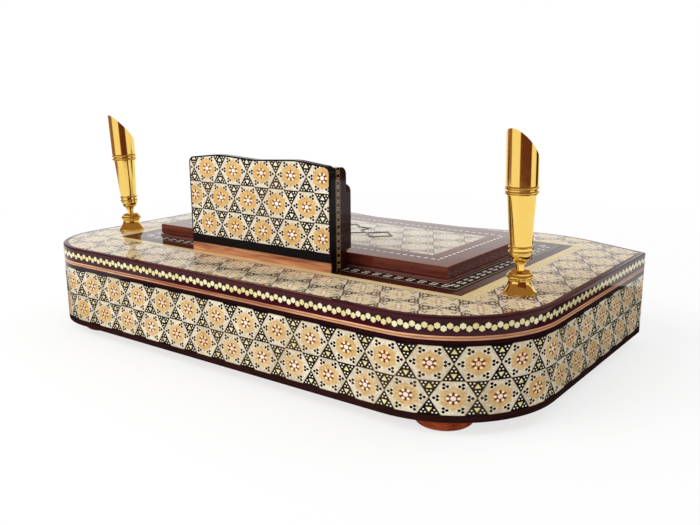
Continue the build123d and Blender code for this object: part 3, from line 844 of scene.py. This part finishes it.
def moulding_profile(low, high):
    """Profile of the edge moulding, rounded over between side and top."""
    profile = [(joint_bevel, low, low), (0.0, low + joint_bevel, low + joint_bevel)]
    for i in range(edge_steps + 1):
        turn = i / edge_steps * pi / 2
        inset = edge_round * (1 - cos(turn))
        height = high - edge_round * (1 - sin(turn))
        profile.append((inset, height, high - edge_round + edge_round * turn))
    profile.append((moulding_width, high, high + moulding_width))
    profile.append((moulding_width, low, low - moulding_width))
    return profile


def corners_of(plan):
    """The four corners of a rectangle, anticlockwise."""
    (ax, ay), (bx, by) = plan
    return [Vector(p) for p in ((ax, ay), (bx, ay), (bx, by), (ax, by))]


def rectangle_frame(name, outer, inner, low, high):
    """Four mitred strips between two rectangles. U is 0 at a strip's middle, V is 0 at its outer edge."""
    outside, inside = corners_of(outer), corners_of(inner)
    under = high - joint_bevel
    faces, uvs = [], []
    for i in range(4):
        j = (i + 1) % 4
        along = (outside[j] - outside[i]).normalized()
        inward = Vector((-along.y, along.x))
        middle = (outside[i] + outside[j]) / 2
        ease = joint_bevel / (inside[i] - outside[i]).dot(inward)
        rows = [(0.0, low), (0.0, under), (ease, high), (1 - ease, high), (1.0, under), (1.0, low)]
        for (s0, z0), (s1, z1) in zip(rows, rows[1:] + rows[:1]):
            marks = ((i, s0, z0), (j, s0, z0), (j, s1, z1), (i, s1, z1))
            places = [(outside[k].lerp(inside[k], share), z) for k, share, z in marks]
            faces.append([(*p, z) for p, z in places])
            uvs.append([((p - middle).dot(along), (p - middle).dot(inward)) for p, _ in places])
    return mesh_from(name, faces, uvs)


def plan_of(name):
    """Lowest and highest corner of a node, in plan."""
    low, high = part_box(name)
    return (low.x, low.y), (high.x, high.y)


def inset_plan(plan, distance):
    """A rectangle drawn in by a distance."""
    (ax, ay), (bx, by) = plan
    return (ax + distance, ay + distance), (bx - distance, by - distance)


def bead_row(outline, height):
    """Hexagonal beads along the side, one step up and one down in turn.

    The faces of a bead share one place on the pattern, which sets its tone.
    """
    whole = outline[-1][2] - outline[0][2]
    count = 2 * round(whole / bead_pitch / 2)
    build = bmesh.new()
    layer = build.loops.layers.uv.new("UVMap")
    segment = 0
    for i in range(count):
        u = outline[0][2] + (i + 0.5) * whole / count
        while outline[segment + 1][2] < u:
            segment += 1
        (p0, m0, u0), (p1, m1, u1) = outline[segment], outline[segment + 1]
        share = (u - u0) / (u1 - u0)
        middle = p0.lerp(p1, share)
        run = (p1 - p0).normalized()
        facing = m0.lerp(m1, share).normalized()
        z = height + (bead_step if i % 2 else -bead_step)
        rings = []
        steps = ((bead_reach, -bead_depth), (bead_reach, 0.0), (bead_face * bead_reach, bead_proud))
        for reach, out in steps:
            ring = []
            for k in range(6):
                turn = radians(30 + 60 * k)
                flat = middle + run * reach * cos(turn) + facing * out
                ring.append(build.verts.new((flat.x, flat.y, z + reach * sin(turn))))
            rings.append(ring)
        faces = [rings[-1], rings[0][::-1]]
        for low_ring, high_ring in zip(rings, rings[1:]):
            for k in range(6):
                m = (k + 1) % 6
                faces.append([low_ring[k], low_ring[m], high_ring[m], high_ring[k]])
        for corners in faces:
            for loop in build.faces.new(corners).loops:
                loop[layer].uv = (i, 0.5)
    bmesh.ops.recalc_face_normals(build, faces=build.faces)
    mesh = bpy.data.meshes.new("side_beads")
    build.to_mesh(mesh)
    build.free()
    return mesh


def turned(name, profile, place, axis):
    """A turned solid: a closed ring of (radius, height) in millimetres, round an axis at a place."""
    profile = [(radius * MM, height * MM) for radius, height in profile]
    side = axis.orthogonal().normalized()
    across = axis.cross(side)
    def point(radius, height, turn):
        return place + axis * height + (side * cos(turn) + across * sin(turn)) * radius
    faces, uvs = [], []
    for i in range(turned_steps):
        start, end = (2 * pi * k / turned_steps for k in (i, i + 1))
        for (r0, h0), (r1, h1) in zip(profile, profile[1:] + profile[:1]):
            if r0 or r1:
                corners = ((r0, h0, start), (r0, h0, end), (r1, h1, end), (r1, h1, start))
                faces.append([point(*corner) for corner in corners])
                uvs.append([(turn, height) for _, height, turn in corners])
    return mesh_from(name, faces, uvs)


def paint(material, *names):
    """Gives CAD nodes a material."""
    for name in names:
        if not nodes[name].material_slots:
            nodes[name].data.materials.append(material)
        for mesh_slot in nodes[name].material_slots:
            mesh_slot.material = material


# Parts of the scene

def dress_sides(outline, materials):
    """The bands round the side, each swept along the box's outline."""
    looks = {
        "bead_inlay": "bead_ground",
        "maroon_stringing": "maroon_band",
        "light_stringing": "light_band",
        "black_stringing": "bead_ground",
        "side_marquetry": "side_marquetry",
        "plinth_strip": "plinth",
    }
    for name, look in looks.items():
        low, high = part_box(name)
        mesh = swept(name, outline, band_profile(low.z, high.z))
        new_piece(f"{name}_band", mesh, materials[look], "root", name)
    low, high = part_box("edge_moulding")
    mesh = swept("edge_moulding", outline, moulding_profile(low.z, high.z))
    new_piece("edge_moulding_band", mesh, materials["maroon_band"], "root", "edge_moulding")
    low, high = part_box("bead_inlay")
    mesh = bead_row(outline, (low.z + high.z) / 2)
    beads = new_piece("side_beads", mesh, materials["bead_brass_and_painted_highlight"], "root")


def dress_top(materials):
    """The frames let into the top round the lid."""
    low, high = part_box("cream_line")
    rings = ["cream_line", "maroon_border", "pattern_border", "compartment_lining"]
    looks = {"cream_line": "cream", "maroon_border": "maroon_frame", "pattern_border": "leaf_border"}
    for outer, inner in zip(rings, rings[1:]):
        mesh = rectangle_frame(outer, plan_of(outer), plan_of(inner), low.z, high.z)
        new_piece(f"{outer}_frame", mesh, materials[looks[outer]], "root", outer)
    paint(materials["top_marquetry"], "top_marquetry")


def dress_lid(materials):
    """The lid's line, panel, ornament and board."""
    low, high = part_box("lid_inlay_line")
    plan = plan_of("lid_inlay_line")
    mesh = rectangle_frame("lid_inlay_line", plan, inset_plan(plan, line_width), low.z, high.z)
    new_piece("lid_inlay_line_frame", mesh, materials["lozenge_line"], "lid", "lid_inlay_line")
    paint(materials["lid_marquetry"], "lid_marquetry")
    paint(materials["mahogany"], "lid_board", "lid_lip")
    # The seat frame gets lighter, pinker wood: a painted highlight along the lid's lower edge
    paint(materials["seat"], "lid_seat_frame")
    paint(materials["dark"], "lid_ornament")


def dress_holder(materials):
    """The card holder's boards and inlays."""
    paint(materials["holder_dark"], "holder_front_board", "holder_black_strip")
    low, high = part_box("holder_facing")
    front, back = low.y - joint_bevel, high.y - joint_bevel
    profile = [
        (-2 * joint_bevel, back, 0.0),
        (-2 * joint_bevel, front + joint_bevel, 0.0),
        (0.0, front, 0.0),
        (rim_width - joint_bevel, front, 0.0),
        (rim_width, front + joint_bevel, 0.0),
        (rim_width, back, 0.0),
    ]
    mesh = swept("holder_rim", mitred(outline_of("holder_facing", 1)), profile)
    # The rim was swept lying down
    upright = Matrix(((1, 0, 0, 0), (0, 0, 1, 0), (0, 1, 0, 0), (0, 0, 0, 1)))
    mesh.transform(upright)
    mesh.flip_normals()
    rim = new_piece("holder_rim", mesh, materials["holder_dark"], "root")
    paint(materials["maroon"], "holder_side_left", "holder_side_right")
    paint(materials["maroon"], "holder_rear_board", "holder_floor")
    paint(materials["holder_marquetry"], "holder_facing")
    paint(materials["orange"], "holder_base_strip")
    for side in ("left", "right"):
        name = f"holder_inlay_{side}"
        low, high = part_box(name)
        corners = corners_of(plan_of(name))
        faces = [[(*p, z) for p in corners] for z in (low.z, high.z)]
        for p, q in zip(corners, corners[1:] + corners[:1]):
            faces.append([(*p, low.z), (*q, low.z), (*q, high.z), (*p, high.z)])
        uvs = [[(z, y - low.y) for _, y, z in face] for face in faces]
        mesh = mesh_from(name, faces, uvs)
        new_piece(f"{name}_strip", mesh, materials["leaf_strip"], "root", name)


def dress_rest(materials):
    """Carcass, feet, felt, hinges and pen funnels, with turned pen feet and funnel bowls."""
    paint(materials["carcass"], "carcass_walls", "bottom_board", "top_board", "compartment_walls")
    paint(materials["felt"], "compartment_lining")
    paint(materials["foot"], *(name for name in nodes if name.startswith("foot_")))
    paint(materials["satin_brass"], *(name for name in nodes if name.startswith("hinge_")))
    paint(materials["gold"], *(name for name in nodes if name.startswith(("left_", "right_"))))
    up = Vector((0, 0, 1))
    for side in ("left", "right"):
        low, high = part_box(f"{side}_pen_foot")
        middle = (low + high) / 2
        place = Vector((middle.x, middle.y, high.z - max(h for _, h in foot_profile) * MM))
        mesh = turned(f"{side}_foot", foot_profile, place, up)
        new_piece(f"{side}_turned_foot", mesh, materials["gold"], "root", f"{side}_pen_foot")
        spin = next(joint for joint in frame["joints"] if joint["name"] == f"{side}_pen_spin")
        axis = Vector(spin["axis"]).normalized()
        mesh = turned(f"{side}_bowl", bowl_profile, Vector(spin["pos_m"]), axis)
        bowl = new_piece(f"{side}_funnel_bowl", mesh, materials["gold"], f"{side}_funnel")
        add_screws(side, materials["gold"])


def add_screws(side, material):
    """Four screws for a hinge, two in each leaf."""
    low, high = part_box(f"hinge_fixed_leaf_{side}")
    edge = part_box(f"hinge_lid_leaf_{side}")[1].y
    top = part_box("lid_board")[1].z + leaf_thickness
    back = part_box("holder_rear_board")[1].y + leaf_thickness
    for end, x in (("a", low.x + screw_inset), ("b", high.x - screw_inset)):
        fixed = Vector((x, back, high.z - fixed_screw_drop))
        loose = Vector((x, edge - lid_screw_back, top))
        rows = (("fixed", fixed, Vector((0, 1, 0)), "root"), ("lid", loose, Vector((0, 0, 1)), "lid"))
        for leaf_name, place, axis, body in rows:
            mesh = turned("screw", screw_profile, place, axis)
            screw = new_piece(f"screw_{leaf_name}_{side}_{end}", mesh, material, body)


def seen_by_eye(tree):
    """1 for what the camera sees, straight, mirrored or through glass, and 0 for the light on things."""
    path = node(tree, "ShaderNodeLightPath")
    seen = Number(tree, path.outputs["Is Camera Ray"])
    for name in ("Is Glossy Ray", "Is Transmission Ray"):
        seen = seen.math("MAXIMUM", Number(tree, path.outputs[name]))
    return seen


def sheet(name, places, faces, material):
    """An object of thin faces."""
    mesh = bpy.data.meshes.new(name)
    mesh.from_pydata(places, [], faces)
    mesh.materials.append(material)
    return placed(name, mesh)


def build_stage():
    """White floor that keeps the object's soft shadow, and runs out into the white round it."""
    material, tree = new_material("floor")
    lit = node(tree, "ShaderNodeBsdfDiffuse", Color=(0.9, 0.9, 0.9, 1.0))
    plain = node(tree, "ShaderNodeEmission", Color=white, Strength=1.0)
    x, y, _ = split(tree, place_on(tree))
    away = ((x * x + y * y).root() - floor_keeps) / (floor_white - floor_keeps)
    share = away.clamped() * (1 - floor_share) + floor_share
    finish_shader(tree, blended(tree, seen_by_eye(tree) * share, lit, plain))
    corners = corners_of(((-floor_reach, -floor_reach), (floor_reach, floor_reach)))
    floor = sheet("floor", [(*corner, 0) for corner in corners], [(0, 1, 2, 3)], material)


def add_card(name, places, faces, material):
    """A card that only reflections show."""
    card = sheet(name, places, faces, material)
    card.visible_camera = False
    card.visible_diffuse = False
    card.visible_shadow = False
    card.visible_transmission = False


def card_colour(name, colour, first=0.0, last=0.0):
    """A streaky colour that no light changes, and that fades out towards its first and last bearing."""
    material, tree = new_material(name)
    x, y, z = split(tree, place_on(tree))
    streaks = noise(tree, joined(tree, x * 9.0, y * 9.0, z * 0.5), 1.0, 3.0)
    colour = mixed(tree, (streaks - 0.45).clamped(3.0), colour, scaled(colour, 1.9))
    shader = node(tree, "ShaderNodeEmission", Color=colour, Strength=1.0)
    if last > first:
        turn = (y - card_middle[1]).math("ARCTAN2", x - card_middle[0]) - radians((first + last) / 2)
        inside = (radians((last - first) / 2) - abs(turn.wrap(2 * pi))) / radians(card_fade)
        shader = blended(tree, inside.clamped(), node(tree, "ShaderNodeBsdfTransparent"), shader)
    finish_shader(tree, shader)
    return material


def dark_cards(outline):
    """Dark cards that only reflections show, as a studio sets round polished things."""
    material = card_colour("floor_card", (0.02, 0.015, 0.012, 1.0))
    places = []
    for point, mitre, _ in outline[:-1]:
        for out in (card_inner, card_outer):
            places.append((*(point + mitre * out), card_lift))
    count = len(places)
    faces = [(i, i + 1, (i + 3) % count, (i + 2) % count) for i in range(0, count, 2)]
    add_card("floor_card", places, faces, material)
    middle_x, middle_y = card_middle
    faces = [(i, i + 2, i + 3, i + 1) for i in range(0, 2 * card_steps, 2)]
    for name, first, last, high, colour in card_places:
        places = []
        for i in range(card_steps + 1):
            turn = radians(first + (last - first) * i / card_steps)
            x, y = middle_x + card_distance * cos(turn), middle_y + card_distance * sin(turn)
            places += [(x, y, 0.0), (x, y, high)]
        add_card(name, places, faces, card_colour(name, colour, first, last))


def light_scene():
    """White surroundings that reflections see brown from some height up, and two soft lamps."""
    world = bpy.data.worlds.new("studio")
    bpy.context.scene.world = world
    world.use_nodes = True
    tree = world.node_tree
    tree.nodes.clear()
    plain = node(tree, "ShaderNodeBackground", Color=white, Strength=0.6)
    rise = split(tree, place_on(tree, "Generated"))[2]
    dim = ((rise - sky_white) / (sky_dim - sky_white)).clamped()
    glossy = Number(tree, node(tree, "ShaderNodeLightPath").outputs["Is Glossy Ray"])
    colour = mixed(tree, dim * glossy, white, sky_shade)
    seen = node(tree, "ShaderNodeBackground", Color=colour, Strength=1.0)
    finish_shader(tree, blended(tree, seen_by_eye(tree), plain, seen), "World")
    for lamp in lamps:
        add_light(*lamp)


def add_light(name, place, size, power):
    """A square soft light aimed at the box, which reflections don't show."""
    lamp = bpy.data.lights.new(name, "AREA")
    lamp.size = size
    lamp.energy = power
    light = placed(name, lamp)
    light.visible_glossy = False
    aim = (lamp_aim - Vector(place)).to_track_quat("-Z", "Y")
    light.matrix_world = Matrix.Translation(place) @ aim.to_matrix().to_4x4()


aim_camera()
pattern = marquetry_group()
on_side = {"source": "UV", "gloss": side_gloss}
materials = {
    "side_marquetry": marquetry(
        "side_marquetry", pattern, (0, 1), (side_hexagon_u, side_hexagon_z), side_row, 0.0,
        edges=(side_hexagon_z - 1.5 * side_row, side_hexagon_z + side_row / 2), **on_side,
    ),
    "top_marquetry": marquetry(
        "top_marquetry", pattern, (0, 1), (top_hexagon_x, top_hexagon_y), top_row, 0.5, 1.0, 0.35
    ),
    "lid_marquetry": marquetry(
        "lid_marquetry", pattern, (0, 1), (lid_hexagon_x, lid_hexagon_y), top_row, 0.1, 1.0, 0.9
    ),
    "holder_marquetry": marquetry(
        "holder_marquetry", pattern, (0, 2), (holder_hexagon_x, holder_hexagon_z), side_row, 0.8,
        facing=1, gloss=holder_gloss,
    ),
    "holder_dark": black_lacquer("holder_lacquer", holder_gloss),
    "dark": black_lacquer("dark_lacquer", side_gloss),
    "maroon": wood("maroon_wood", rgb(26, 8, 10), rgb(56, 18, 18), along=2, gloss=side_gloss),
    "maroon_band": wood("maroon_band", rgb(36, 8, 16), rgb(74, 16, 26), **on_side),
    "bead_ground": wood("bead_ground", rgb(22, 8, 10), rgb(50, 14, 20), **on_side),
    "plinth": wood("plinth_wood", rgb(24, 11, 10), rgb(58, 28, 27), **on_side),
    "maroon_frame": wood("maroon_frame", rgb(34, 6, 9), rgb(66, 16, 20), source="UV"),
    "light_band": wood(
        "light_band", rgb(150, 86, 60), rgb(240, 186, 140), figure=1.0, seam=seam_height, **on_side
    ),
    "cream": wood("cream_wood", rgb(206, 182, 124), rgb(234, 214, 160), source="UV", figure=0.3),
    "orange": wood("orange_wood", rgb(134, 66, 38), rgb(238, 172, 120), figure=1.8, fibre=700.0),
    "foot": wood("foot_wood", rgb(122, 44, 18), rgb(204, 98, 54), figure=1.4),
    "mahogany": wood("mahogany", rgb(48, 16, 12), rgb(124, 54, 40), fibre=1300.0),
    # Mahogany made lighter and pinker: a painted highlight for the thin light line under the lid
    "seat": wood("seat_wood_painted_highlight", rgb(84, 38, 34), rgb(158, 96, 86), fibre=1300.0),
    "carcass": wood("carcass_wood", rgb(150, 116, 78), rgb(196, 164, 120), coat_rough=0.4),
    "leaf_border": leaf_band(
        "leaf_border", 6.5 * MM, 3.6 * MM, 9.4 * MM, 0.5 * MM, 1.0 * MM,
        rgb(252, 246, 240), rgb(160, 140, 110),
    ),
    "leaf_strip": leaf_band(
        "leaf_strip", 3.6 * MM, 0.9 * MM, 3.3 * MM, 0.4 * MM, 0.0,
        rgb(214, 176, 112), rgb(140, 104, 60),
    ),
    "lozenge_line": lozenge_line("lozenge_line", 4.1 * MM, line_width),
    "gold": polished_gold(),
    "bead_brass_and_painted_highlight": bead_brass_and_painted_highlight(),
    "satin_brass": satin_brass(),
    "felt": felt(),
}
sides = box_outline()
dress_sides(sides, materials)
dress_top(materials)
dress_lid(materials)
dress_holder(materials)
dress_rest(materials)
build_stage()
dark_cards(sides)
light_scene()
bpy.context.scene.view_settings.view_transform = "Standard"
